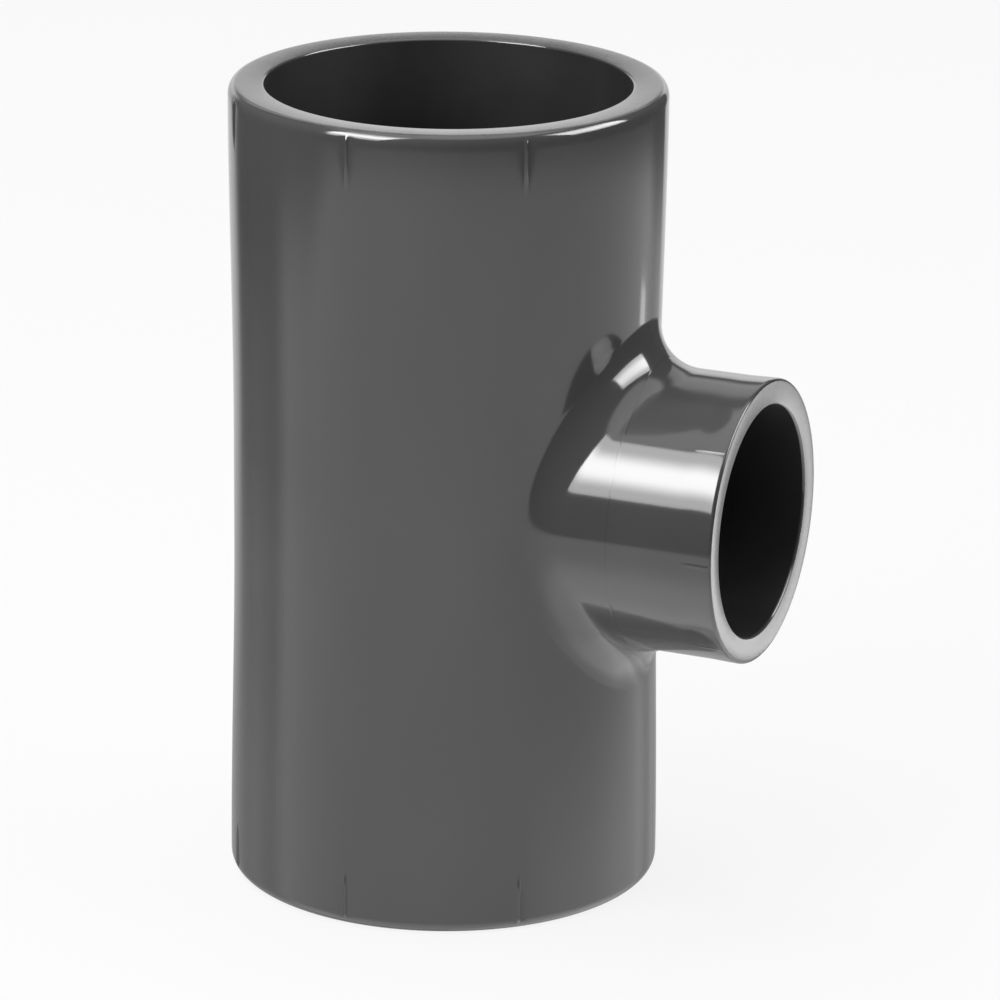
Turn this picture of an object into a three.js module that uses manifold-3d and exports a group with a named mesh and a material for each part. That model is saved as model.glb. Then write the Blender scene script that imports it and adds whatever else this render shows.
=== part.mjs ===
// Reducing tee for solvent-cement pressure pipe, 63 mm through the run and 40 mm on the branch.
// The object is one injection moulding. It stands on its lower run mouth, and its branch points along +X.
// Units are millimetres. +Z is up, and the origin is the middle of the base of the part's outer box.

import * as THREE from "three";
import { mergeVertices } from "three/addons/utils/BufferGeometryUtils.js";
import Module from "manifold-3d";

// Run: two equal sockets in line, one above the other
const runPipeDiameter = 63;
const runSocketPlay = 0.3; // the mouth is this much wider than the pipe
const runSocketDraft = 0.2; // the radius lost from the mouth down to the pipe stop
const runSocketDepth = 38;
const runSocketWall = 6.25;
const runStopWidth = 3.45; // the ledge that the pipe's end meets
const runEntryChamfer = 0.5;
const runBodyDraft = 0.5; // the radius that the outside gains from the barrel out to the rim
const runRimProud = 0.25;
const runRimFlank = 1.8; // the rim's tapered flank, below its rounded edge
const runRimRounding = 1.2;
const runMarkLength = 6;

// Branch: one smaller socket, square to the run
const branchPipeDiameter = 40;
const branchSocketPlay = 0.3;
const branchSocketDraft = 0.15;
const branchSocketDepth = 26;
const branchSocketWall = 4.6;
const branchStopWidth = 2.5;
const branchStopWeb = 5.6; // from the crown of the run's waterway to the branch's pipe stop
const branchEntryChamfer = 0.5;
const branchRimProud = 0.15;
const branchRimFlank = 1.4;
const branchRimRounding = 0.6;
const branchMarkLength = 5;

// Blend between the two, and how far the run's pipe stops lie beyond it
const blendRadius = 8.3;
const blendToStop = 0.1;

// Small raised lines, which start in each rim's flank and fade out along the body
const markWidth = 0.8;
const markProudShare = 0.8; // of how far the rim stands proud
const markBearings = [46, 92.5, 140]; // degrees to either side of the mould's parting plane

// Facets, and how far surfaces run past what they cut or are buried in
const runSides = 72;
const branchSides = 60;
const roundingSteps = 3;
const blendSteps = 6;
const cutOverrun = 2;
const buriedDepth = 1;

// Run sizes that follow
const runBoreRadius = (runPipeDiameter + runSocketPlay) / 2;
const runStopRadius = runBoreRadius - runSocketDraft;
const runWaterwayRadius = runStopRadius - runStopWidth;
const runRimRadius = runBoreRadius + runSocketWall;
const runBodyRadius = runRimRadius - runRimProud;
const barrelRadius = runBodyRadius - runBodyDraft;

// Branch sizes that follow, its reaches measured from the run's axis
const branchBoreRadius = (branchPipeDiameter + branchSocketPlay) / 2;
const branchStopRadius = branchBoreRadius - branchSocketDraft;
const branchWaterwayRadius = branchStopRadius - branchStopWidth;
const branchRimRadius = branchBoreRadius + branchSocketWall;
const branchBodyRadius = branchRimRadius - branchRimProud;
const branchStopReach = runWaterwayRadius + branchStopWeb;
const branchReach = branchStopReach + branchSocketDepth;

// Heights that follow, above the lower mouth
const stopToCentre = branchBodyRadius + blendRadius + blendToStop;
const centreHeight = stopToCentre + runSocketDepth;
const runLength = 2 * centreHeight;

// Twice as far as a flat facet stands inside the round that it follows
const tuckDepth = 2 * runRimRadius * (1 - Math.cos(Math.PI / runSides));

// The upper run mouth and the branch mouth, each with its face at a height along its own axis
const runMouth = {
  faceHeight: runLength,
  rimRadius: runRimRadius,
  rimProud: runRimProud,
  rimFlank: runRimFlank,
  rounding: runRimRounding,
  chamfer: runEntryChamfer,
  boreRadius: runBoreRadius,
  stopRadius: runStopRadius,
  socketDepth: runSocketDepth,
  markLength: runMarkLength,
  draftUnderMark: runBodyDraft * (runMarkLength / runSocketDepth),
};
const branchMouth = {
  faceHeight: branchReach,
  rimRadius: branchRimRadius,
  rimProud: branchRimProud,
  rimFlank: branchRimFlank,
  rounding: branchRimRounding,
  chamfer: branchEntryChamfer,
  boreRadius: branchBoreRadius,
  stopRadius: branchStopRadius,
  socketDepth: branchSocketDepth,
  markLength: branchMarkLength,
  draftUnderMark: 0,
};

const wasm = await Module();
wasm.setup();

// Turns a closed three.js geometry into a solid that can be joined and cut.
function solidFrom(geometry) {
  geometry.deleteAttribute("normal");
  geometry.deleteAttribute("uv");
  const merged = mergeVertices(geometry);
  const mesh = new wasm.Mesh({
    numProp: 3,
    vertProperties: merged.attributes.position.array,
    triVerts: new Uint32Array(merged.index.array),
  });
  return new wasm.Manifold(mesh);
}

// Turns a solid back into a three.js geometry.
function geometryFrom(solid) {
  const mesh = solid.getMesh();
  const geometry = new THREE.BufferGeometry();
  geometry.setAttribute("position", new THREE.BufferAttribute(mesh.vertProperties, mesh.numProp));
  geometry.setIndex(new THREE.BufferAttribute(mesh.triVerts, 1));
  geometry.computeVertexNormals();
  return geometry;
}

// Revolves a profile of [radius, height] points about +Z. The profile climbs, from the axis to the axis.
function revolve(profile, sides) {
  const points = profile.map(([radius, height]) => new THREE.Vector2(radius, height));
  return new THREE.LatheGeometry(points, sides).rotateX(Math.PI / 2);
}

// Lays a shape made along +Z over to the branch's axis. What faced +X before faces up afterwards.
function alongBranch(geometry) {
  return geometry.rotateY(-Math.PI / 2).rotateZ(Math.PI).translate(0, 0, centreHeight);
}

// Turns a shape made for the upper run mouth over onto the lower one.
function atLowerMouth(geometry) {
  return geometry.rotateX(Math.PI).translate(0, 0, runLength);
}

// One mouth's outside, climbing from the plain body to the axis: flank, rounded edge, flat face.
function rimProfile(mouth) {
  const edgeHeight = mouth.faceHeight - mouth.rounding;
  const flankFoot = edgeHeight - mouth.rimFlank;
  const edgeRadius = mouth.rimRadius - mouth.rounding;
  const points = [[mouth.rimRadius - mouth.rimProud, flankFoot]];
  for (let step = 0; step <= roundingSteps; step += 1) {
    const angle = (step / roundingSteps) * (Math.PI / 2);
    const radius = edgeRadius + mouth.rounding * Math.cos(angle);
    points.push([radius, edgeHeight + mouth.rounding * Math.sin(angle)]);
  }
  points.push([0, mouth.faceHeight]);
  return points;
}

// One socket's inside, climbing from the pipe stop to beyond the mouth, with the chamfered entry.
function socketProfile(mouth) {
  const overrunHeight = mouth.faceHeight + cutOverrun;
  return [
    [mouth.stopRadius, mouth.faceHeight - mouth.socketDepth],
    [mouth.boreRadius, mouth.faceHeight - mouth.chamfer],
    [mouth.boreRadius + mouth.chamfer + cutOverrun, overrunHeight],
    [0, overrunHeight],
  ];
}

// The same climbing profile, with its mirror image below the run's centre put before it.
function bothWays(upper) {
  const lower = upper.map(([radius, height]) => [radius, runLength - height]).reverse();
  return [...lower, ...upper];
}

// The run's outside: a plain barrel between two sockets that widen towards their rims.
function runOutside() {
  const upper = [[barrelRadius, centreHeight + stopToCentre], ...rimProfile(runMouth)];
  return solidFrom(revolve(bothWays(upper), runSides));
}

// The run's inside: a socket at each end, and the waterway between their pipe stops.
function runInside() {
  const upper = [[runWaterwayRadius, centreHeight + stopToCentre], ...socketProfile(runMouth)];
  return solidFrom(revolve(bothWays(upper), runSides));
}

// The branch's outside, from the run's axis to the branch mouth.
function branchOutside() {
  const profile = [[0, 0], [branchBodyRadius, 0], ...rimProfile(branchMouth)];
  return solidFrom(alongBranch(revolve(profile, branchSides)));
}

// The branch's inside, from the run's axis to beyond the branch mouth.
function branchInside() {
  const waterway = [
    [0, 0],
    [branchWaterwayRadius, 0],
    [branchWaterwayRadius, branchStopReach],
  ];
  return solidFrom(alongBranch(revolve([...waterway, ...socketProfile(branchMouth)], branchSides)));
}

// One section of the blend: a ball rolls outside both walls, and its arc spans from wall to wall.
// The turn is about the branch's axis, from straight up. The arc's ends are tucked into the walls, and
// the last point is buried in both.
function blendSection(turn) {
  const ballTrack = branchBodyRadius + blendRadius;
  const across = ballTrack * Math.sin(turn);
  const rise = ballTrack * Math.cos(turn);
  const out = Math.sqrt((barrelRadius + blendRadius) ** 2 - across ** 2);
  const ball = new THREE.Vector3(out, across, rise);

  const runShare = barrelRadius / (barrelRadius + blendRadius);
  const branchShare = branchBodyRadius / ballTrack;
  const toRun = new THREE.Vector3(out * runShare, across * runShare, rise).sub(ball);
  const toBranch = new THREE.Vector3(out, across * branchShare, rise * branchShare).sub(ball);
  const spread = toRun.angleTo(toBranch);

  const section = [];
  for (let step = 0; step <= blendSteps; step += 1) {
    const angle = (step / blendSteps) * spread;
    const arm = new THREE.Vector3();
    arm.addScaledVector(toRun, Math.sin(spread - angle) / Math.sin(spread));
    arm.addScaledVector(toBranch, Math.sin(angle) / Math.sin(spread));
    section.push(arm.setLength(blendRadius + tuckDepth).add(ball));
  }
  const buriedRadius = branchBodyRadius - buriedDepth;
  const buriedAcross = buriedRadius * Math.sin(turn);
  const buriedOut = Math.sqrt((barrelRadius - buriedDepth) ** 2 - buriedAcross ** 2);
  section.push(new THREE.Vector3(buriedOut, buriedAcross, buriedRadius * Math.cos(turn)));
  return section;
}

// The blend where the branch leaves the run, as a closed ring of sections.
function blendCollar() {
  const positions = [];
  const triangles = [];
  const sectionSize = blendSteps + 2;
  for (let side = 0; side < branchSides; side += 1) {
    const section = blendSection((side / branchSides) * 2 * Math.PI);
    section.forEach((point) => positions.push(point.x, point.y, point.z + centreHeight));
    const here = side * sectionSize;
    const next = ((side + 1) % branchSides) * sectionSize;
    for (let corner = 0; corner < sectionSize; corner += 1) {
      const after = (corner + 1) % sectionSize;
      triangles.push(here + corner, next + after, next + corner);
      triangles.push(here + corner, here + after, next + after);
    }
  }
  const geometry = new THREE.BufferGeometry();
  geometry.setAttribute("position", new THREE.Float32BufferAttribute(positions, 3));
  geometry.setIndex(triangles);
  return solidFrom(geometry);
}

// One raised line at a mouth, facing +X: it starts inside the rim's flank and fades into the body.
function markLine(mouth) {
  const bodyRadius = mouth.rimRadius - mouth.rimProud;
  const lineRadius = bodyRadius + mouth.rimProud * markProudShare;
  const fadeRadius = bodyRadius - mouth.draftUnderMark - tuckDepth;
  const buriedRadius = bodyRadius - buriedDepth;
  const startHeight = mouth.faceHeight - mouth.rounding;
  const flankFoot = startHeight - mouth.rimFlank;
  const endHeight = flankFoot - mouth.markLength;

  const side = new THREE.Shape();
  side.moveTo(buriedRadius, startHeight);
  side.lineTo(buriedRadius, endHeight);
  side.lineTo(fadeRadius, endHeight);
  side.lineTo(lineRadius, flankFoot);
  side.lineTo(lineRadius, startHeight);
  side.closePath();
  const line = new THREE.ExtrudeGeometry(side, { depth: markWidth, bevelEnabled: false });
  return line.translate(0, 0, -markWidth / 2).rotateX(Math.PI / 2);
}

// A mouth's raised lines, set out on both sides of the parting plane and laid where the mouth is.
function markLines(mouth, layInPlace) {
  return markBearings.flatMap((bearing) =>
    [bearing, -bearing].map((angle) => {
      const line = markLine(mouth).rotateZ(THREE.MathUtils.degToRad(angle));
      return solidFrom(layInPlace(line));
    }),
  );
}

// The whole moulding: the outsides joined, then both waterways and all three sockets cut.
function teeBody() {
  const additions = [
    branchOutside(),
    blendCollar(),
    ...markLines(runMouth, (line) => line),
    ...markLines(runMouth, atLowerMouth),
    ...markLines(branchMouth, alongBranch),
  ];
  const outside = additions.reduce((joined, addition) => joined.add(addition), runOutside());
  return geometryFrom(outside.subtract(runInside()).subtract(branchInside()));
}

const greyPlastic = new THREE.MeshStandardMaterial({ color: 0x55565a, roughness: 0.32, metalness: 0 });
const tee = new THREE.Mesh(teeBody(), greyPlastic);
tee.name = "tee_body";

// The box around the part runs from the back of the run to the branch mouth.
const part = new THREE.Group();
part.position.x = (runRimRadius - branchReach) / 2;
part.add(tee);

export default part;
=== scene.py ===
"""Reducing tee for solvent-cement pressure pipe, dressed and lit as in its studio photograph.

The whole fitting is one injection moulding, so one finely modelled piece stands for the frame's body. It is
worked out in millimetres from the run's axis, and brought to metres in the frame's own place at the end.
"""

import logging
import math
from collections.abc import Callable, Iterable, Iterator, Sequence
from dataclasses import dataclass
from enum import Enum

import bmesh
import bpy
from bmesh.types import BMEdge, BMesh, BMLayerItem, BMVert
from bpy.types import Material, Node, NodeSocket, NodeTree, Object
from mathutils import Matrix, Quaternion, Vector


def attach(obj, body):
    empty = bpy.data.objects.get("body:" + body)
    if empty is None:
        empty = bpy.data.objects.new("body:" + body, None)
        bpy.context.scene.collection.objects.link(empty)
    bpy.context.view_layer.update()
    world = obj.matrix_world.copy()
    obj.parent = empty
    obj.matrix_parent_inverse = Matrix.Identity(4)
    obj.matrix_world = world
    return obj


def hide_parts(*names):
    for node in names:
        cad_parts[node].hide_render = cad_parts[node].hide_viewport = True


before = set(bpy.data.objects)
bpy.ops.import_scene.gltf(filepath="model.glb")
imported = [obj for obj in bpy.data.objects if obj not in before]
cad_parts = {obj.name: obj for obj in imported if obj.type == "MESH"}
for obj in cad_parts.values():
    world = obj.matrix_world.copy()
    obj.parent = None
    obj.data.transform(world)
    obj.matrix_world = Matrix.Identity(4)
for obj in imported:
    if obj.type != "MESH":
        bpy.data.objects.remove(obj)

MM = 0.001
BODY = "root"
CAD_NODE = "tee_body"

# The range that a noise's values keep to, and its middle
NOISE_LOW = 0.3
NOISE_HIGH = 0.7
NOISE_MIDDLE = 0.5

# Slack in a comparison of places, and how close two points merge, in millimetres
SLACK = 0.01
MERGE_DISTANCE = 0.002

WHITE = (1.0, 1.0, 1.0, 1.0)

# The two ends of a span, a ring's radius and height, and a wall spot's bearing and height
Span = tuple[float, float]
Ring = tuple[float, float]
Spot = tuple[float, float]

log = logging.getLogger("tee")


class Zone(Enum):
    """The parts of the moulding's surface that look different, by their place in its list of materials."""

    SKIN = 0
    BORE = 1


class Signal:
    """One value in a node tree, which Python's operators work on."""

    def __init__(self, graph: "Graph", socket: NodeSocket) -> None:
        """Wraps an output socket of a graph."""
        self.graph = graph
        self.socket = socket

    def __add__(self, other: "Signal | float") -> "Signal":
        """Adds a signal or a number."""
        return self.graph.math("ADD", self, other)

    __radd__ = __add__

    def __sub__(self, other: "Signal | float") -> "Signal":
        """Takes away a signal or a number."""
        return self.graph.math("SUBTRACT", self, other)

    def __rsub__(self, other: float) -> "Signal":
        """Takes the signal away from a number."""
        return self.graph.math("SUBTRACT", other, self)

    def __mul__(self, other: "Signal | float") -> "Signal":
        """Multiplies by a signal or a number."""
        return self.graph.math("MULTIPLY", self, other)

    __rmul__ = __mul__

    def __truediv__(self, other: "Signal | float") -> "Signal":
        """Divides by a signal or a number."""
        return self.graph.math("DIVIDE", self, other)

    def __abs__(self) -> "Signal":
        """Drops the sign."""
        return self.graph.math("ABSOLUTE", self)

    def at_most(self, other: "Signal | float") -> "Signal":
        """The lower of the two."""
        return self.graph.math("MINIMUM", self, other)

    def at_least(self, other: "Signal | float") -> "Signal":
        """The higher of the two."""
        return self.graph.math("MAXIMUM", self, other)

    def falling(self, start: float, end: float) -> "Signal":
        """A soft step down, from 1 at the start to 0 at the end."""
        return 1 - self.rising(start, end)

    def rising(self, start: float, end: float) -> "Signal":
        """A soft step from 0 to 1, whose start may also be the higher end.

        Args:
            start: The value at which the result leaves 0.
            end: The value at which the result reaches 1.

        Returns:
            The step.
        """
        inputs = {"Value": self, "From Min": start, "From Max": end}
        made = self.graph.node("ShaderNodeMapRange", {"interpolation_type": "SMOOTHSTEP"}, inputs)
        return Signal(self.graph, made.outputs["Result"])

    def varied(self, share: float) -> "Signal":
        """Turns a noise into a factor that goes a share to either side of 1."""
        return self.rising(NOISE_LOW, NOISE_HIGH) * (2 * share) + (1 - share)


class Graph:
    """A material's or world's node tree under construction."""

    def __init__(self, tree: NodeTree) -> None:
        """Empties the tree, to build in it."""
        self.tree = tree
        tree.nodes.clear()

    def node(
        self,
        kind: str,
        settings: dict[str, object] | None = None,
        inputs: dict[str | int, object] | None = None,
    ) -> Node:
        """Adds one node.

        Args:
            kind: The node's type name.
            settings: Its own settings, put in before its sockets are filled.
            inputs: The value or link of each socket, by the socket's name or number.

        Returns:
            The node.
        """
        made = self.tree.nodes.new(kind)
        for name, value in (settings or {}).items():
            setattr(made, name, value)
        for key, value in (inputs or {}).items():
            if isinstance(value, Signal):
                value = value.socket
            if isinstance(value, NodeSocket):
                self.tree.links.new(value, made.inputs[key])
            else:
                made.inputs[key].default_value = value
        return made

    def surface(self, shader: Node, output: str = "ShaderNodeOutputMaterial") -> None:
        """Makes a shader the tree's result."""
        self.node(output, inputs={"Surface": shader.outputs[0]})

    def math(self, operation: str, *values: "Signal | float") -> Signal:
        """One Math node's result, from signals or numbers in order."""
        made = self.node("ShaderNodeMath", {"operation": operation}, dict(enumerate(values)))
        return Signal(self, made.outputs[0])

    def place(self) -> tuple[Signal, Signal, Signal]:
        """The surface point's X, Y and Z in the object, in metres."""
        coordinates = self.node("ShaderNodeTexCoord").outputs["Object"]
        split = self.node("ShaderNodeSeparateXYZ", inputs={0: coordinates})
        x, y, z = (Signal(self, output) for output in split.outputs)
        return x, y, z

    def noise(self, waves: float, detail: float = 2.0, along: float = 1.0) -> Signal:
        """Smooth noise over the object.

        Args:
            waves: Waves in each metre.
            detail: How many finer layers it has.
            along: How much tighter the waves are along Z.

        Returns:
            The noise, around its middle.
        """
        coordinates = self.node("ShaderNodeTexCoord").outputs["Object"]
        mapped = self.node("ShaderNodeMapping", inputs={"Vector": coordinates, "Scale": (1.0, 1.0, along)})
        inputs = {"Vector": mapped.outputs[0], "Scale": waves, "Detail": detail}
        return Signal(self, self.node("ShaderNodeTexNoise", inputs=inputs).outputs["Fac"])

    def grey(self, level: Signal, lightest: float = 1.0) -> NodeSocket:
        """A neutral colour, of a level up to the lightest."""
        inputs = {"Factor": level / lightest, 6: (0.0, 0.0, 0.0, 1.0), 7: (lightest, lightest, lightest, 1.0)}
        return self.node("ShaderNodeMix", {"data_type": "RGBA"}, inputs).outputs[2]

    def bump(self, height: Signal, depth: float, strength: float = 1.0) -> NodeSocket:
        """Turns a height, where 1 is the full depth in metres, into a normal."""
        inputs = {"Height": height, "Distance": depth, "Strength": strength}
        return self.node("ShaderNodeBump", inputs=inputs).outputs["Normal"]


def new_material(name: str) -> tuple[Material, Graph]:
    """Starts a material.

    Args:
        name: The material's name.

    Returns:
        The material, and its empty graph.
    """
    made = bpy.data.materials.new(name)
    made.use_nodes = True
    return made, Graph(made.node_tree)


def glowing(name: str, strength: float, share: Callable[[Graph], Signal] | None = None) -> Material:
    """Makes a material that shines.

    Args:
        name: The material's name.
        strength: How bright it is at its brightest.
        share: Gives the share of that brightness at each place. Without it the whole surface has the same.

    Returns:
        The material.
    """
    made, graph = new_material(name)
    colour = graph.grey(share(graph)) if share else WHITE
    graph.surface(graph.node("ShaderNodeEmission", inputs={"Color": colour, "Strength": strength}))
    return made


@dataclass(frozen=True)
class MouldedSkin:
    """The outside as the polished mould leaves it, turning to a rubbed, grained satin on the mouth faces.

    Lengths are in metres. Heights and depths of the fine relief are shares of its full depth.
    """

    run_length: float
    branch_mouth_at: float
    insert_line_at: float
    level: float = 0.061
    face_level: float = 0.05
    lightest: float = 0.12
    refraction: float = 1.53
    cloud_waves: float = 26.0
    cloud_along: float = 0.45
    cloud_share: float = 0.08
    cloud_roughness: float = 0.03
    cloud_height: float = 0.4
    drawn_waves: float = 420.0
    drawn_along: float = 0.03
    drawn_roughness: float = 0.02
    drawn_height: float = 0.05
    mottle_waves: float = 170.0
    mottle_share: float = 0.25
    grain_waves: float = 2600.0
    grain_share: float = 0.4
    grain_height: float = 0.9
    roughness: float = 0.09
    face_roughness: float = 0.14
    face_span: Span = (0.05 * MM, 0.45 * MM)
    insert_line_span: Span = (0.06 * MM, 0.24 * MM)
    insert_line_painted_shade: float = 0.10
    insert_line_depth: float = 0.5
    parting_line_span: Span = (0.10 * MM, 0.22 * MM)
    parting_line_height: float = 0.12
    relief: float = 0.02 * MM

    def material(self) -> Material:
        """Makes the material."""
        made, graph = new_material("moulded_skin")
        x, y, z = graph.place()
        clouds = graph.noise(self.cloud_waves, along=self.cloud_along)
        drawn = graph.noise(self.drawn_waves, 1.0, self.drawn_along)
        grain = graph.noise(self.grain_waves, 3.0)
        mottle = graph.noise(self.mottle_waves) * (1 - self.grain_share) + grain * self.grain_share
        from_face = z.at_most(self.run_length - z).at_most(self.branch_mouth_at - x)
        rubbed = from_face.falling(*self.face_span)
        insert_line = abs(x - self.insert_line_at).falling(*self.insert_line_span)
        parting_line = abs(y).falling(*self.parting_line_span)

        # Darker along the witness line: painted shade of its groove, whose relief is in the bump.
        skin_level = (clouds.varied(self.cloud_share) - insert_line * self.insert_line_painted_shade) * self.level
        face_level = mottle.varied(self.mottle_share) * self.face_level
        roughness = rubbed * (self.face_roughness - self.roughness) + self.roughness
        for unevenness, share in ((clouds, self.cloud_roughness), (drawn, self.drawn_roughness)):
            roughness = roughness + (unevenness - NOISE_MIDDLE) * share
        flow = clouds * self.cloud_height + drawn * self.drawn_height
        lines = parting_line * self.parting_line_height - insert_line * self.insert_line_depth
        inputs = {
            "Base Color": graph.grey(skin_level * (1 - rubbed) + face_level * rubbed, self.lightest),
            "Roughness": roughness,
            "IOR": self.refraction,
            "Normal": graph.bump(flow + lines + grain * rubbed * self.grain_height, self.relief),
        }
        graph.surface(graph.node("ShaderNodeBsdfPrincipled", inputs=inputs))
        return made


@dataclass(frozen=True)
class SatinBoreWithPaintedShade:
    """The sockets and waterways, satin from the core pins, with faint draw lines along them, and darker than
    the skin as painted shade inside the sockets. Metres.
    """

    # A darker grey than the skin's: painted shade inside the sockets.
    level: float = 0.024
    lightest: float = 0.05
    refraction: float = 1.3
    roughness: float = 0.46
    cloud_waves: float = 60.0
    cloud_share: float = 0.18
    cloud_roughness: float = 0.1
    drawn_waves: float = 700.0
    drawn_along: float = 0.05
    drawn_strength: float = 0.6
    relief: float = 0.01 * MM

    def material(self) -> Material:
        """Makes the material."""
        made, graph = new_material("satin_bore_painted_shade")
        clouds = graph.noise(self.cloud_waves, 3.0)
        drawn = graph.noise(self.drawn_waves, 1.0, self.drawn_along)
        inputs = {
            "Base Color": graph.grey(clouds.varied(self.cloud_share) * self.level, self.lightest),
            "Roughness": (clouds - NOISE_MIDDLE) * self.cloud_roughness + self.roughness,
            "IOR": self.refraction,
            "Normal": graph.bump(drawn, self.relief, self.drawn_strength),
        }
        graph.surface(graph.node("ShaderNodeBsdfPrincipled", inputs=inputs))
        return made


def smooth_share(value: float, low: float, high: float) -> float:
    """How far a value is between two limits, eased at both.

    Args:
        value: The value.
        low: Where the share is 0.
        high: Where the share is 1.

    Returns:
        The share.
    """
    if high <= low:
        return 0.0 if value < low else 1.0
    share = min(max((value - low) / (high - low), 0.0), 1.0)
    return share * share * (3 - 2 * share)


@dataclass(frozen=True)
class Station:
    """One ring of a profile: its radius, and its distance back from the mouth's face, in millimetres."""

    radius: float
    back: float


@dataclass(frozen=True)
class Mouth:
    """One socket mouth, in millimetres: rounded edge, dished face, rounded lip, socket and pipe stop."""

    bore_radius: float
    stop_radius: float
    waterway_radius: float
    socket_depth: float
    rim_radius: float
    edge_width: float
    edge_depth: float
    dish_depth: float
    mark_length: float
    body_draft: float
    draft_length: float
    body_backs: tuple[float, ...] = ()
    lip: float = 0.45
    crease: float = 0.12
    dish_power: float = 2.0
    edge_steps: int = 16
    dish_steps: int = 12
    lip_steps: int = 10
    mark_shares: tuple[float, ...] = (1.25, 1.1, 1.0, 0.9, 0.78, 0.64, 0.5, 0.36, 0.22, 0.1)

    @property
    def lip_start(self) -> float:
        """The radius at which the face turns into the socket's rounded lip."""
        return self.bore_radius + self.lip

    @property
    def body_radius(self) -> float:
        """The plain body's radius, well behind the mouth."""
        return self.rim_radius - self.body_draft

    def body_radius_at(self, back: float) -> float:
        """The outside's radius at a distance back from the face, where it eases in to the body."""
        return self.rim_radius - self.body_draft * smooth_share(back, self.edge_depth, self.draft_length)

    def outside(self) -> list[Station]:
        """The rings from behind the marks, over the rounded edge and the dished face, to the lip."""
        backs = list(self.body_backs)
        backs += [self.edge_depth + self.mark_length * share for share in self.mark_shares]
        stations = [Station(self.body_radius_at(back), back) for back in backs]
        face_radius = self.rim_radius - self.edge_width
        for step in range(self.edge_steps + 1):
            angle = step / self.edge_steps * math.pi / 2
            radius = face_radius + self.edge_width * math.cos(angle)
            stations.append(Station(radius, self.edge_depth * (1 - math.sin(angle))))
        for step in range(1, self.dish_steps + 1):
            share = step / self.dish_steps
            radius = face_radius + (self.lip_start - face_radius) * share
            stations.append(Station(radius, self.dish_depth * share**self.dish_power))
        return stations

    def inside(self) -> list[Station]:
        """The rings from the lip, down the socket and over the pipe stop, to the waterway."""
        depth = self.socket_depth
        stations = []
        for step in range(1, self.lip_steps + 1):
            angle = step / self.lip_steps * math.pi / 2
            radius = self.lip_start - self.lip * math.sin(angle)
            stations.append(Station(radius, self.dish_depth + self.lip * (1 - math.cos(angle))))
        return stations + [
            Station((self.bore_radius + self.stop_radius) / 2, depth / 2),
            Station(self.stop_radius, depth - self.crease),
            Station(self.stop_radius, depth),
            Station(self.stop_radius - self.crease, depth),
            Station(self.waterway_radius + self.crease, depth),
            Station(self.waterway_radius, depth),
            Station(self.waterway_radius, depth + self.crease),
        ]


@dataclass(frozen=True)
class RaisedMarks:
    """The small raised lines at a mouth, with the dished wedges beside them. Millimetres and degrees."""

    height: float
    wedge_depth: float
    fade_from: float
    bearings: tuple[float, ...]
    flat_half_width: float = 0.12
    half_width: float = 0.42
    wedge_half_width: float = 1.8
    start_share: float = 0.4
    offsets: tuple[float, ...] = (0.1, 0.2, 0.3, 0.42, 0.6, 0.9, 1.3, 1.9)

    def both_sides(self) -> list[float]:
        """The bearings of all six lines."""
        return sorted([-angle for angle in self.bearings] + list(self.bearings))

    def fan(self, radius: float) -> list[float]:
        """The columns across a line at a radius, in degrees off the line's middle."""
        steps = [math.degrees(offset / radius) for offset in self.offsets]
        return [-step for step in reversed(steps)] + [0.0] + steps

    def relief(self, mouth: Mouth, angle: float, back: float, radius: float) -> float:
        """The radius with the lines on it.

        Args:
            mouth: The mouth that the lines belong to.
            angle: The angle about the mouth's axis, in degrees, from the parting plane.
            back: The distance back from the mouth's face.
            radius: The plain radius there.

        Returns:
            The radius with the lines.
        """
        behind = back - mouth.edge_depth
        foot = mouth.edge_depth * self.start_share
        if behind > mouth.mark_length or back < foot:
            return radius
        share = max(behind, 0.0) / mouth.mark_length
        start = smooth_share(back, foot, mouth.edge_depth)
        off = min(abs(abs(angle) - bearing) for bearing in self.bearings)
        across = math.radians(off) * radius
        line = 1 - smooth_share(across, self.flat_half_width, self.half_width)
        height = self.height * start * (1 - smooth_share(share, self.fade_from, 1.0))
        width = self.half_width + (self.wedge_half_width - self.half_width) * (1 - share)
        wedge = (1 - smooth_share(across, self.half_width, width)) * (1 - share) * start
        floor = radius - self.wedge_depth * wedge
        return floor + (radius + height - floor) * line


class Loft:
    """A wall made from one closed loop of edges that is pushed out ring by ring."""

    def __init__(self, mesh: BMesh, edges: Iterable[BMEdge], column: BMLayerItem) -> None:
        """Starts at a loop of edges.

        Args:
            mesh: The mesh.
            edges: The loop's edges.
            column: The layer that numbers the loop's vertices, which each new ring takes over.
        """
        self.mesh = mesh
        self.edges = list(edges)
        self.column = column

    def push(self, points: Sequence[Vector]) -> set[BMVert]:
        """Extrudes the loop once.

        Args:
            points: The place of the vertex of each number.

        Returns:
            The new ring's vertices.
        """
        made = bmesh.ops.extrude_edge_only(self.mesh, edges=self.edges)["geom"]
        fresh = {part for part in made if isinstance(part, BMVert)}
        for vertex in fresh:
            vertex.co = points[vertex[self.column]]
        self.edges = [part for part in made if isinstance(part, BMEdge) and fresh.issuperset(part.verts)]
        return fresh


def wall_spot(point: Vector) -> Spot:
    """A point's bearing about the run's axis, in degrees, and its height."""
    return math.degrees(math.atan2(point.y, point.x)), point.z


def between(start: Spot, end: Spot, share: float) -> Spot:
    """The spot at a share of the way from one spot on a wall to another."""
    bearing, height = (first * (1 - share) + last * share for first, last in zip(start, end))
    return bearing, height


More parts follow.
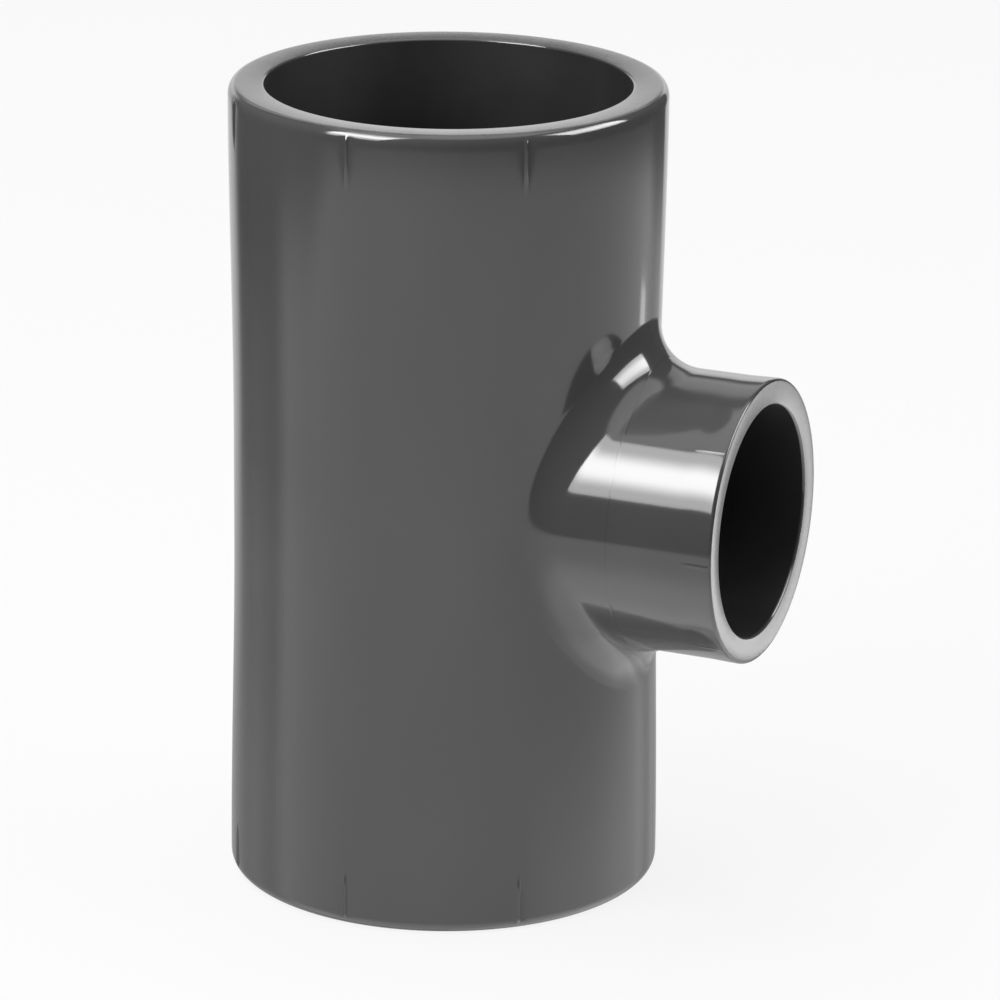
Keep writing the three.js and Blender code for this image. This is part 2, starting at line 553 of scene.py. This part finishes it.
@dataclass(frozen=True)
class ReducingTee:
    """The one-piece tee: run, branch, the blend between them, and all that shows inside. Millimetres."""

    run: Mouth = Mouth(
        bore_radius=31.65, stop_radius=31.45, waterway_radius=28.0, socket_depth=38.0, rim_radius=37.9,
        edge_width=1.35, edge_depth=2.0, dish_depth=0.13, mark_length=8.0, body_draft=0.75,
        draft_length=60.0, body_backs=(25.0, 21.5, 18.0, 14.5),
    )
    branch: Mouth = Mouth(
        bore_radius=20.15, stop_radius=20.0, waterway_radius=17.5, socket_depth=26.0, rim_radius=24.75,
        edge_width=0.45, edge_depth=0.6, dish_depth=0.18, mark_length=5.4, body_draft=0.15,
        draft_length=6.5,
    )
    run_marks: RaisedMarks = RaisedMarks(
        height=0.22, wedge_depth=0.1, fade_from=0.6, bearings=(45.9, 92.6, 140.3)
    )
    branch_marks: RaisedMarks = RaisedMarks(
        height=0.035, wedge_depth=0.0, fade_from=0.66, bearings=(45.4, 92.4, 137.0)
    )
    insert_line_at: float = 40.5
    run_length: float = 142.0
    branch_reach: float = 59.6
    blend_radius: float = 8.3
    plain_columns: int = 144
    window_bearing: float = 80.0
    window_half_height: float = 43.0
    window_margin: float = 1.0
    inner_window_half_height: float = 25.0
    window_rows: int = 44
    fan_out_rings: int = 12
    outer_fan_power: float = 1.6
    inner_fan_power: float = 1.3
    blend_rings: int = 18
    body_shares: tuple[float, ...] = (0.04, 0.12, 0.3, 0.55, 0.8)
    sharp_angle: float = 28.0

    @property
    def centre_height(self) -> float:
        """The height of the branch's axis."""
        return self.run_length / 2

    @property
    def axis_shift(self) -> float:
        """Where the run's axis is along X in the frame, whose origin is in the middle of the tee's box."""
        return (self.run.rim_radius - self.branch_reach) / 2

    def columns(self) -> list[float]:
        """The bearings of the run's columns, in degrees, with a fan of close ones across each raised line."""
        fan = self.run_marks.fan(self.run.rim_radius)
        lines = self.run_marks.both_sides()
        spacing = 360 / self.plain_columns
        clear = fan[-1] + spacing / 2
        plain = [spacing * step - 180 for step in range(self.plain_columns)]
        kept = [angle for angle in plain if all(abs(angle - line) > clear for line in lines)]
        return sorted(kept + [line + offset for line in lines for offset in fan])

    def turns(self, count: int) -> list[float]:
        """The angles of the branch's columns about its axis, in degrees from straight up.

        Args:
            count: How many columns there are.

        Returns:
            The angles, rising, with a fan of close ones across each raised line.
        """
        fan = self.branch_marks.fan(self.branch.rim_radius)[1:-1]
        lines = self.branch_marks.both_sides()
        gaps = []
        for line, after in zip(lines, lines[1:] + [lines[0] + 360]):
            gaps.append((line + fan[-1], after + fan[0]))
        free = count - len(lines) * len(fan)
        whole = sum(end - start for start, end in gaps)
        shares = [int(free * (end - start) / whole) for start, end in gaps]
        shares[-1] += free - sum(shares)
        angles = [line + offset for line in lines for offset in fan]
        for (start, end), share in zip(gaps, shares):
            angles += [start + (end - start) * (step + 1) / (share + 1) for step in range(share)]
        return sorted((angle + 180) % 360 - 180 for angle in angles)

    def outer_radius(self, height: float) -> float:
        """The run's plain outside radius at a height between its two rims."""
        return self.run.body_radius_at(min(height, self.run_length - height))

    def run_rings(self) -> tuple[list[Ring], tuple[int, int], tuple[int, int]]:
        """The run's profile, all the way round its wall.

        Returns:
            The rings as radius and height, and the first and last ring of the outer and the inner window.
        """
        outside = [(station.radius, station.back) for station in self.run.outside()]
        inside = [(station.radius, station.back) for station in self.run.inside()]
        top = self.run_length
        rings = list(reversed(outside))
        outer_first = len(rings)
        for row in range(self.window_rows + 1):
            share = row / self.window_rows * 2 - 1
            height = self.centre_height + share * self.window_half_height
            rings.append((self.outer_radius(height), height))
        outer_last = len(rings) - 1
        rings += [(radius, top - back) for radius, back in outside + inside]
        inner_first = len(rings)
        for row in range(self.window_rows + 1):
            share = 1 - row / self.window_rows * 2
            height = self.centre_height + share * self.inner_window_half_height
            rings.append((self.run.waterway_radius, height))
        inner_last = len(rings) - 1
        rings += list(reversed(inside))
        rings.append(rings[0])
        return rings, (outer_first, outer_last), (inner_first, inner_last)

    def run_point(self, bearing: float, ring: Ring) -> Vector:
        """A point of the run.

        Args:
            bearing: Its bearing in degrees.
            ring: Its plain radius and its height.

        Returns:
            The point, with the raised lines at the mouths.
        """
        radius, height = ring
        if radius > self.run.lip_start:
            back = min(height, self.run_length - height)
            radius = self.run_marks.relief(self.run, bearing, back, radius)
        angle = math.radians(bearing)
        return Vector((radius * math.cos(angle), radius * math.sin(angle), height))

    def branch_point(self, turn: float, radius: float, out: float) -> Vector:
        """The point at a turn and a radius about the branch's axis, and at a distance out."""
        angle = math.radians(turn)
        return Vector((out, radius * math.sin(angle), self.centre_height + radius * math.cos(angle)))

    def junction_point(self, turn: float) -> Vector:
        """The point where the branch's waterway meets the run's.

        Args:
            turn: Its angle from straight up, in degrees.

        Returns:
            The point.
        """
        point = self.branch_point(turn, self.branch.waterway_radius, 0.0)
        point.x = math.sqrt(self.run.waterway_radius**2 - point.y**2)
        return point

    def blend_points(self, turn: float) -> list[Vector]:
        """The arc from the run's wall to the branch's that a ball, rolled between them outside, leaves.

        Args:
            turn: The arc's angle about the branch's axis, in degrees from straight up.

        Returns:
            Its points, from the foot on the run's wall to the end on the branch's.
        """
        track = self.branch.body_radius + self.blend_radius
        across = track * math.sin(math.radians(turn))
        rise = track * math.cos(math.radians(turn))
        barrel = self.outer_radius(self.centre_height + rise)
        out = math.sqrt((barrel + self.blend_radius) ** 2 - across**2)
        inward = barrel / (barrel + self.blend_radius)
        to_run = Vector((out * inward - out, across * inward - across, 0.0))
        inward = self.branch.body_radius / track
        to_branch = Vector((0.0, across * inward - across, rise * inward - rise))
        ball = Vector((out, across, rise + self.centre_height))
        spread = to_run.angle(to_branch)
        points = []
        for step in range(self.blend_rings + 1):
            share = step / self.blend_rings
            arm = to_run * (math.sin(spread * (1 - share)) / math.sin(spread))
            points.append(ball + arm + to_branch * (math.sin(spread * share) / math.sin(spread)))
        return points

    def raise_run(self, mesh: BMesh, column: BMLayerItem, row: BMLayerItem) -> None:
        """Builds the run's wall with a window for the branch cut through it.

        Args:
            mesh: The mesh to build in.
            column: The layer for the number of each vertex's column.
            row: The layer for the number of each vertex's ring.
        """
        bearings = self.columns()
        rings, outer, inner = self.run_rings()
        circle = bmesh.ops.create_circle(mesh, segments=len(bearings), radius=self.run.rim_radius)["verts"]
        for number, vertex in enumerate(circle):
            vertex[column] = number
            vertex.co = self.run_point(bearings[number], rings[0])
        loft = Loft(mesh, mesh.edges[:], column)
        for number, ring in enumerate(rings[1:], 1):
            for vertex in loft.push([self.run_point(bearing, ring) for bearing in bearings]):
                vertex[row] = number
        limit = self.window_bearing + SLACK
        within = {number for number, bearing in enumerate(bearings) if abs(bearing) < limit}
        windows = [
            face
            for face in mesh.faces
            if all(vertex[column] in within for vertex in face.verts)
            and any(first <= min(v[row] for v in face.verts) < last for first, last in (outer, inner))
        ]
        bmesh.ops.delete(mesh, geom=windows, context="FACES")

    def window_edge(self, mesh: BMesh, outer: bool) -> tuple[list[BMEdge], list[BMVert]]:
        """Finds the rim of a window in the run's wall.

        Args:
            mesh: The mesh.
            outer: True for the window in the outside, false for the one in the waterway.

        Returns:
            Its edges, and its vertices in order of their turn about the branch's axis.
        """
        middle = (self.outer_radius(self.centre_height) + self.run.waterway_radius) / 2
        edges = []
        for edge in mesh.edges:
            spot = (edge.verts[0].co + edge.verts[1].co) / 2
            near = abs(spot.z - self.centre_height) < self.window_half_height + self.window_margin
            if edge.is_boundary and near and (math.hypot(spot.x, spot.y) > middle) == outer:
                edges.append(edge)
        half_height = self.window_half_height if outer else self.inner_window_half_height

        def turn(vertex: BMVert) -> float:
            """The vertex's turn about the branch's axis, in a window made square."""
            bearing, height = wall_spot(vertex.co)
            return math.atan2(bearing / self.window_bearing, (height - self.centre_height) / half_height)

        return edges, sorted({vertex for edge in edges for vertex in edge.verts}, key=turn)

    def grow_branch(self, mesh: BMesh, column: BMLayerItem) -> None:
        """Builds the blend, the branch and its inside, from the outer window to the inner one.

        Args:
            mesh: The mesh with the run's wall.
            column: The layer for the number of each vertex's column.
        """
        _, inner_rim = self.window_edge(mesh, False)
        edges, rim = self.window_edge(mesh, True)
        for number, vertex in enumerate(rim):
            vertex[column] = number
        starts = [wall_spot(vertex.co) for vertex in rim]
        ends = [wall_spot(vertex.co) for vertex in inner_rim]
        loft = Loft(mesh, edges, column)
        for points in self.branch_rings(starts, ends):
            loft.push(points)

    def branch_rings(self, starts: Sequence[Spot], ends: Sequence[Spot]) -> Iterator[list[Vector]]:
        """The rings over the blend, along the branch, round its mouth and back through its waterway.

        Args:
            starts: Where each column leaves the outer window's rim.
            ends: Where each column meets the inner window's rim.

        Yields:
            The points of each ring.
        """
        turns = self.turns(len(starts))
        blends = [self.blend_points(turn) for turn in turns]
        feet = [wall_spot(points[0]) for points in blends]
        for step in range(1, self.fan_out_rings + 1):
            share = 1 - (1 - step / self.fan_out_rings) ** self.outer_fan_power
            spots = [between(start, foot, share) for start, foot in zip(starts, feet)]
            yield [self.run_point(bearing, (self.outer_radius(height), height)) for bearing, height in spots]
        for step in range(1, self.blend_rings + 1):
            yield [points[step] for points in blends]

        outside = self.branch.outside()
        body_end = self.branch_reach - outside[0].back
        for share in self.body_shares:
            outs = [points[-1].x * (1 - share) + body_end * share for points in blends]
            yield [self.branch_point(turn, self.branch.body_radius, out) for turn, out in zip(turns, outs)]
        relief = self.branch_marks.relief
        for station in outside:
            out = self.branch_reach - station.back
            radii = [relief(self.branch, turn, station.back, station.radius) for turn in turns]
            yield [self.branch_point(turn, radius, out) for turn, radius in zip(turns, radii)]
        for station in self.branch.inside():
            out = self.branch_reach - station.back
            yield [self.branch_point(turn, station.radius, out) for turn in turns]

        junction = [self.junction_point(turn) for turn in turns]
        yield junction
        for step in range(1, self.fan_out_rings + 1):
            share = (step / self.fan_out_rings) ** self.inner_fan_power
            spots = [between(wall_spot(point), end, share) for point, end in zip(junction, ends)]
            yield [self.run_point(bearing, (self.run.waterway_radius, height)) for bearing, height in spots]

    def zone(self, spot: Vector) -> Zone:
        """The zone of the surface that a face belongs to.

        Args:
            spot: The face's middle.

        Returns:
            The zone.
        """
        from_run = math.hypot(spot.x, spot.y)
        from_branch = math.hypot(spot.y, spot.z - self.centre_height)
        in_branch = spot.x > 0 and from_branch < self.branch.bore_radius + SLACK
        return Zone.BORE if in_branch or from_run < self.run.bore_radius + SLACK else Zone.SKIN

    def build(self) -> Object:
        """Models the tee and dresses it.

        Returns:
            The finished object, in the frame's place.
        """
        mesh = bmesh.new()
        column = mesh.verts.layers.int.new("column")
        row = mesh.verts.layers.int.new("row")
        self.raise_run(mesh, column, row)
        self.grow_branch(mesh, column)
        bmesh.ops.remove_doubles(mesh, verts=mesh.verts[:], dist=MERGE_DISTANCE)
        for name in ("row", "column"):
            mesh.verts.layers.int.remove(mesh.verts.layers.int[name])
        bmesh.ops.recalc_face_normals(mesh, faces=mesh.faces[:])
        for face in mesh.faces:
            face.smooth = True
            face.material_index = self.zone(face.calc_center_median()).value
        limit = math.radians(self.sharp_angle)
        for edge in mesh.edges:
            edge.smooth = edge.is_manifold and edge.calc_face_angle(0.0) < limit
        loose = sum(not edge.is_manifold for edge in mesh.edges)
        log.info("tee moulding: %d faces, %d open edges", len(mesh.faces), loose)
        bmesh.ops.translate(mesh, verts=mesh.verts[:], vec=(self.axis_shift, 0.0, 0.0))
        bmesh.ops.scale(mesh, verts=mesh.verts[:], vec=(MM, MM, MM))
        return self.dress(finished(mesh, "tee_moulding"))

    def dress(self, piece: Object) -> Object:
        """Gives the tee its finishes and its place in the frame.

        Args:
            piece: The tee's object.

        Returns:
            The same object.
        """
        reach = self.branch_reach + self.axis_shift
        skin = MouldedSkin(self.run_length * MM, reach * MM, (self.insert_line_at + self.axis_shift) * MM)
        for finish in (skin, SatinBoreWithPaintedShade()):
            piece.data.materials.append(finish.material())
        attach(piece, BODY)
        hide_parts(CAD_NODE)
        return piece


def finished(mesh: BMesh, name: str) -> Object:
    """Turns a finished bmesh into an object in the scene.

    Args:
        mesh: The bmesh, which is freed.
        name: The object's name.

    Returns:
        The object.
    """
    data = bpy.data.meshes.new(name)
    mesh.to_mesh(data)
    mesh.free()
    made = bpy.data.objects.new(name, data)
    bpy.context.scene.collection.objects.link(made)
    return made


def heading(azimuth: float, elevation: float) -> Vector:
    """The unit vector at degrees round from -Y towards +X, and degrees above the floor."""
    around, above = math.radians(azimuth), math.radians(elevation)
    return Vector((math.sin(around) * math.cos(above), -math.cos(around) * math.cos(above), math.sin(above)))


def stand_card(card: Object, glow: Material, stand: Matrix) -> None:
    """Stands up a glowing object that is seen in the gloss and nowhere else.

    Args:
        card: The object.
        glow: Its material.
        stand: Its place.
    """
    card.data.materials.append(glow)
    card.matrix_world = stand
    card.visible_camera = False
    card.visible_diffuse = False
    card.visible_shadow = False
    card.visible_transmission = False


def flat_card(name: str, half_width: float, half_height: float) -> Object:
    """Makes a flat rectangle that faces up.

    Args:
        name: The object's name.
        half_width: Half its size along X, in metres.
        half_height: Half its size along Y, in metres.

    Returns:
        The object.
    """
    mesh = bmesh.new()
    bmesh.ops.create_grid(mesh, x_segments=1, y_segments=1, size=1.0)
    bmesh.ops.scale(mesh, verts=mesh.verts[:], vec=(half_width, half_height, 1.0))
    return finished(mesh, name)


@dataclass(frozen=True)
class Softbox:
    """A studio lamp: an area light for the surfaces, and a glowing card that only reflections see.

    Lengths are in metres, angles in degrees and the power in watts. The glow fades along the card's height,
    from its middle to a share of its brightness at the rim. A lamp without glow has no card.
    """

    name: str
    azimuth: float
    elevation: float
    distance: float
    half_width: float
    half_height: float
    power: float
    glow: float = 0.0
    rim_share: float = 1.0
    spread: float = 1.0
    middle_share: float = 0.2

    def place(self, target: Vector) -> None:
        """Stands the lamp up, facing the object.

        Args:
            target: The point that it faces.
        """
        back = heading(self.azimuth, self.elevation)
        turned = back.to_track_quat("Z", "Y").to_matrix().to_4x4()
        stand = Matrix.Translation(target + back * self.distance) @ turned
        self.add_light().matrix_world = stand
        if self.glow:
            card = flat_card(f"{self.name}_card", self.half_width, self.half_height)
            stand_card(card, glowing(self.name, self.glow, self.share), stand)

    def add_light(self) -> Object:
        """Makes the area light, which reflections don't see."""
        data = bpy.data.lights.new(self.name, "AREA")
        data.shape = "RECTANGLE"
        data.size, data.size_y = 2 * self.half_width, 2 * self.half_height
        data.energy = self.power
        made = bpy.data.objects.new(self.name, data)
        bpy.context.scene.collection.objects.link(made)
        made.visible_camera = False
        made.visible_glossy = False
        return made

    def share(self, graph: Graph) -> Signal:
        """The share of the full glow at each place of the card.

        Args:
            graph: The graph to build in.

        Returns:
            The share.
        """
        _, y, _ = graph.place()
        reach = self.half_height * self.spread
        middle = abs(y).falling(reach * self.middle_share, reach)
        return middle * (1 - self.rim_share) + self.rim_share


SOFTBOXES = (
    Softbox(
        "key_softbox", azimuth=-27.0, elevation=40.0, distance=1.1, half_width=0.29, half_height=0.42,
        power=8.0, glow=20.0, rim_share=0.38, spread=0.72,
    ),
    Softbox(
        "side_softbox", azimuth=111.0, elevation=35.0, distance=1.2, half_width=0.42, half_height=0.32,
        power=5.3, glow=15.0, rim_share=0.5, spread=0.9,
    ),
    Softbox(
        "top_softbox", azimuth=-100.0, elevation=76.0, distance=1.2, half_width=0.45, half_height=0.45,
        power=14.0,
    ),
)


@dataclass(frozen=True)
class PaintedReflectionStrip:
    """A glowing strip on the floor behind the tee, seen only in the gloss, which paints a reflection into the
    branch's mouth face. Metres.
    """

    azimuth: float = 156.0
    distance: float = 0.24
    height: float = 0.001
    half_width: float = 0.018
    half_length: float = 0.11
    glow: float = 3.2

    def place(self, seen_from: Vector) -> None:
        """Lays the strip, pointing away from the face that mirrors it.

        Args:
            seen_from: The middle of that face.
        """
        card = flat_card("painted_reflection_strip", self.half_width, self.half_length)
        spot = Vector((seen_from.x, seen_from.y, self.height)) + heading(self.azimuth, 0.0) * self.distance
        turned = Matrix.Rotation(math.radians(self.azimuth) - math.pi, 4, "Z")
        # The strip glows and lights nothing: a painted reflection for the branch's mouth face.
        stand_card(card, glowing("painted_reflection_strip", self.glow), Matrix.Translation(spot) @ turned)


@dataclass(frozen=True)
class Side:
    """What one side of the studio adds to the ground, and to the line where the ground ends.

    The span is the azimuth at which the side begins and the one from which it is whole. The drop lowers the
    line. Both are in degrees.
    """

    span: Span
    ground: float
    width: float = 0.0
    drop: float = 0.0


@dataclass(frozen=True)
class StudioDome:
    """The studio round the set, painted by direction, which only reflections see.

    The radius is in metres. A span is two angles in degrees, between which something fades in or out.
    """

    radius: float = 10.0
    segments: int = 96
    peak: float = 2.4
    dark: float = 0.10
    behind_span: Span = (-130.0, -115.0)
    backdrop: float = 1.45
    backdrop_top: Span = (13.5, 18.5)
    backdrop_foot: Span = (-4.0, 9.0)
    backdrop_foot_loss: float = 0.4
    veil: float = 0.9
    veil_foot: Span = (20.0, 27.0)
    veil_top: Span = (40.0, 50.0)
    overhead: float = 1.8
    overhead_span: Span = (54.0, 63.0)
    ground: float = 1.2
    horizon: float = -14.0
    horizon_width: float = 1.6
    sides: tuple[Side, ...] = (
        Side((-36.0, -56.0), ground=0.05, width=2.3, drop=0.6),
        Side((-68.0, -84.0), ground=-0.55, width=1.5, drop=0.8),
        Side((-96.0, -112.0), ground=-0.2),
        Side((152.0, 168.0), ground=-0.55, width=0.8),
    )
    right_apron: float = 0.4
    right_apron_start: Span = (60.0, 90.0)
    right_apron_end: Span = (125.0, 150.0)
    right_apron_below: Span = (18.5, 22.0)
    underfoot_share: float = 0.7
    underfoot_span: Span = (24.0, 50.0)

    def direction(self, graph: Graph) -> tuple[Signal, Signal]:
        """The azimuth and the elevation of the dome's point, in degrees."""
        x, y, z = graph.place()
        degree = math.radians(1.0)
        azimuth = graph.math("ARCTAN2", x, 0.0 - y) / degree
        elevation = graph.math("ARCTAN2", z, graph.math("SQRT", x * x + y * y)) / degree
        return azimuth, elevation

    def share(self, graph: Graph) -> Signal:
        """How bright the studio is in each direction, as a share of its peak.

        Args:
            graph: The graph to build in.

        Returns:
            The share.
        """
        azimuth, elevation = self.direction(graph)
        below = 0.0 - elevation
        backdrop = elevation.falling(*self.backdrop_top) * (self.backdrop - self.dark)
        backdrop = backdrop * (1 - elevation.falling(*self.backdrop_foot) * self.backdrop_foot_loss)
        veil = elevation.rising(*self.veil_foot) * elevation.falling(*self.veil_top) * self.veil
        behind = azimuth.falling(*self.behind_span) * (backdrop + veil)
        above = elevation.rising(*self.overhead_span) * (self.overhead - self.dark)
        sky = behind.at_least(above) + self.dark

        apron = azimuth.rising(*self.right_apron_start) * azimuth.falling(*self.right_apron_end)
        ground = apron * below.rising(*self.right_apron_below) * self.right_apron + self.ground
        line, width = 0.0 - elevation + self.horizon, self.horizon_width
        for side in self.sides:
            share = azimuth.rising(*side.span)
            ground = ground + share * side.ground
            width = share * side.width + width
            line = line - share * side.drop
        ground = ground * (below.rising(*self.underfoot_span) * self.underfoot_share + 1.0)
        return (sky + (ground - sky) * (line / width).rising(0.0, 1.0)) / self.peak

    def place(self, target: Vector) -> None:
        """Puts the dome round the set.

        Args:
            target: The dome's middle.
        """
        mesh = bmesh.new()
        rows = self.segments // 2
        bmesh.ops.create_uvsphere(mesh, u_segments=self.segments, v_segments=rows, radius=self.radius)
        dome = finished(mesh, "studio_dome")
        stand_card(dome, glowing("studio_dome", self.peak, self.share), Matrix.Translation(target))


@dataclass(frozen=True)
class WhiteSet:
    """The pale floor, and the white that surrounds the set. Metres."""

    half_size: float = 4.0
    floor_gap: float = 0.1 * MM
    floor_level: float = 0.55
    floor_white_share: float = 0.86
    fill: float = 0.25

    def seen(self, graph: Graph) -> Signal:
        """1 for the rays that show the background: camera, reflection and transmission.

        Args:
            graph: The graph to build in.

        Returns:
            The signal.
        """
        paths = graph.node("ShaderNodeLightPath").outputs
        camera, glossy, through = (
            Signal(graph, paths[name]) for name in ("Is Camera Ray", "Is Glossy Ray", "Is Transmission Ray")
        )
        return camera.at_least(glossy).at_least(through)

    def lay_floor(self) -> None:
        """Lays the floor, white where the camera looks, with the object's shadow kept."""
        mesh = bmesh.new()
        bmesh.ops.create_grid(mesh, x_segments=2, y_segments=2, size=self.half_size)
        bmesh.ops.translate(mesh, verts=mesh.verts[:], vec=(0.0, 0.0, -self.floor_gap))
        floor = finished(mesh, "floor")
        made, graph = new_material("floor_white")
        plain = graph.node("ShaderNodeBsdfDiffuse", inputs={"Color": (*(self.floor_level,) * 3, 1.0)})
        white = graph.node("ShaderNodeEmission", inputs={"Color": WHITE, "Strength": 1.0})
        factor = self.seen(graph) * self.floor_white_share
        inputs = {0: factor, 1: plain.outputs[0], 2: white.outputs[0]}
        graph.surface(graph.node("ShaderNodeMixShader", inputs=inputs))
        floor.data.materials.append(made)
        floor.visible_glossy = False

    def surround(self) -> None:
        """Sets the world: white where it is seen, a soft even fill where it lights."""
        world = bpy.data.worlds.new("white_set")
        world.use_nodes = True
        bpy.context.scene.world = world
        graph = Graph(world.node_tree)
        fill = graph.node("ShaderNodeBackground", inputs={"Color": WHITE, "Strength": self.fill})
        white = graph.node("ShaderNodeBackground", inputs={"Color": WHITE, "Strength": 1.0})
        inputs = {0: self.seen(graph), 1: fill.outputs[0], 2: white.outputs[0]}
        graph.surface(graph.node("ShaderNodeMixShader", inputs=inputs), "ShaderNodeOutputWorld")


@dataclass(frozen=True)
class StudioCamera:
    """The photograph's viewpoint, fitted to the outline. Pixels are those of an image 1000 pixels square."""

    focal_pixels: float = 5748.905
    centre_right_pixels: float = -53.952
    centre_up_pixels: float = 24.429
    image_pixels: float = 1000.0
    distance: float = 1007.706 * MM
    azimuth: float = 24.039
    elevation: float = 17.936
    roll: float = 0.387
    sensor: float = 36.0
    clip: Span = (0.05, 20.0)

    def place(self, target: Vector) -> None:
        """Makes the scene's camera.

        Args:
            target: The point that the fitted angles and distance are about.
        """
        back = heading(self.azimuth, self.elevation)
        around = math.radians(self.azimuth)
        right = Vector((math.cos(around), math.sin(around), 0.0))
        up = back.cross(right)
        roll = math.radians(self.roll)
        level_right = right * math.cos(roll) + up * math.sin(roll)
        level_up = up * math.cos(roll) - right * math.sin(roll)
        turned = Matrix((level_right, level_up, back)).transposed()
        aim = Vector((self.centre_right_pixels, self.centre_up_pixels, -self.focal_pixels))
        swing: Quaternion = aim.rotation_difference(Vector((0.0, 0.0, -1.0)))
        data = bpy.data.cameras.new("studio_camera")
        data.sensor_width = self.sensor
        data.lens = self.focal_pixels * self.sensor / self.image_pixels
        data.clip_start, data.clip_end = self.clip
        made = bpy.data.objects.new("studio_camera", data)
        bpy.context.scene.collection.objects.link(made)
        rotation = (turned @ swing.to_matrix()).to_4x4()
        made.matrix_world = Matrix.Translation(target + back * self.distance) @ rotation
        bpy.context.scene.camera = made


def main() -> None:
    """Builds the dressed tee, the set, its lights and the camera."""
    logging.basicConfig(level=logging.INFO, format="%(name)s: %(message)s")
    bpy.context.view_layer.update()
    tee = ReducingTee()
    piece = tee.build()
    log.info("%s rides on %s", piece.name, BODY)

    middle = Vector((tee.axis_shift, 0.0, tee.centre_height)) * MM
    branch_face = Vector((tee.branch_reach + tee.axis_shift, 0.0, tee.centre_height)) * MM
    white_set = WhiteSet()
    white_set.lay_floor()
    white_set.surround()
    StudioDome().place(middle)
    for softbox in SOFTBOXES:
        softbox.place(middle)
    # The painted reflection in the branch's mouth face.
    PaintedReflectionStrip().place(branch_face)
    StudioCamera().place(middle)
    bpy.context.scene.view_settings.view_transform = "Standard"
    log.info("floor, surround, dome, %d softboxes, reflector and camera are in place", len(SOFTBOXES))


if __name__ == "__main__":
    main()
